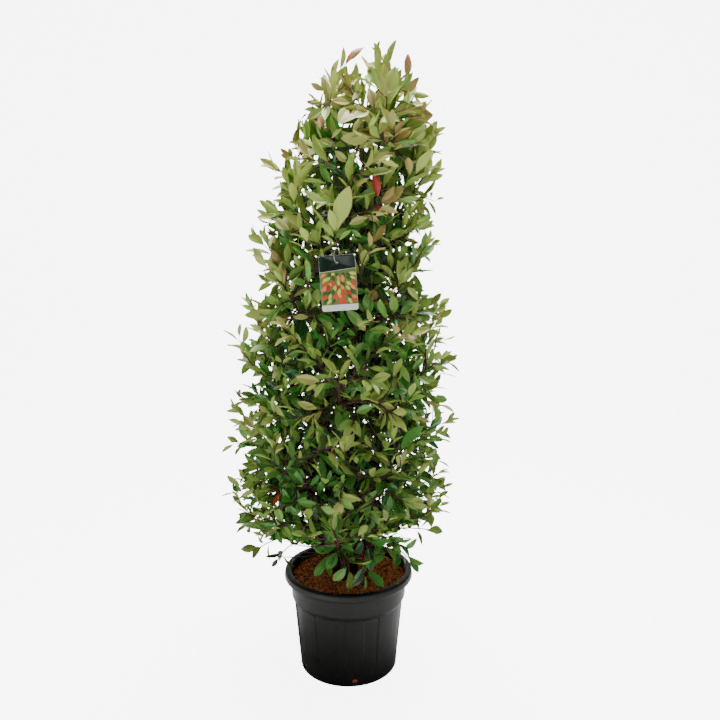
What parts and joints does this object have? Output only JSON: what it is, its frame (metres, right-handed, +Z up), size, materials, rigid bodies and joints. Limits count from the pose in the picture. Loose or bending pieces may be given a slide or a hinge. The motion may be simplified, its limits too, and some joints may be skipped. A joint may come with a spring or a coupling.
{
  "type": "potted evergreen shrub",
  "caption": "Tall narrow evergreen shrub with glossy green leaves and bronze young tips, bushy down to its round black nursery pot, with a picture card hanging at the front.",
  "frame": {"origin": "middle of the pot's flat underside", "axes": "+Z up along the pot's axis and the plant; the card hangs at the front, towards -Y; +X to the right as seen from the front"},
  "size_m": [0.9825, 0.96, 2.5862],
  "materials": {
    "pot": "slightly shiny black moulded plastic",
    "soil": "loose fibrous brown potting compost",
    "bark": "grey-brown bark, dark red on young wood",
    "leaf_low": "glossy dark green leaves",
    "leaf_middle": "glossy mid green leaves",
    "leaf_top": "glossy yellow-green and bronze young leaves",
    "card": "thin printed plastic card",
    "loop": "clear plastic tie"
  },
  "bodies": {
    "root": {"bough_card": "bark", "bough_low_a": "bark", "bough_low_b": "bark", "bough_low_c": "bark", "bough_low_d": "bark", "bough_low_e": "bark", "bough_middle_a": "bark", "bough_middle_b": "bark", "bough_middle_c": "bark", "bough_middle_d": "bark", "bough_middle_e": "bark", "bough_shoulder_a": "bark", "bough_shoulder_b": "bark", "bough_shoulder_c": "bark", "bough_shoulder_d": "bark", "bough_skirt_a": "bark", "bough_skirt_b": "bark", "bough_skirt_c": "bark", "bough_skirt_d": "bark", "bough_skirt_e": "bark", "bough_upper_c": "bark", "card": "card", "card_loop": "loop", "foliage_card": "leaf_top", "foliage_low_a": "leaf_low", "foliage_low_b": "leaf_low", "foliage_low_c": "leaf_low", "foliage_low_d": "leaf_low", "foliage_low_e": "leaf_low", "foliage_middle_a": "leaf_middle", "foliage_middle_b": "leaf_middle", "foliage_middle_c": "leaf_middle", "foliage_middle_d": "leaf_middle", "foliage_middle_e": "leaf_middle", "foliage_shoulder_a": "leaf_middle", "foliage_shoulder_b": "leaf_middle", "foliage_shoulder_c": "leaf_middle", "foliage_shoulder_d": "leaf_middle", "foliage_skirt_a": "leaf_low", "foliage_skirt_b": "leaf_low", "foliage_skirt_c": "leaf_low", "foliage_skirt_d": "leaf_low", "foliage_skirt_e": "leaf_low", "foliage_top_a": "leaf_top", "foliage_top_b": "leaf_top", "foliage_top_c": "leaf_top", "foliage_upper_a": "leaf_top", "foliage_upper_b": "leaf_top", "foliage_upper_c": "leaf_top", "pot": "pot", "soil": "soil", "stem_back": "bark", "stem_front": "bark", "stem_left": "bark", "stem_main": "bark", "stem_right": "bark"}
  },
  "joints": []
}
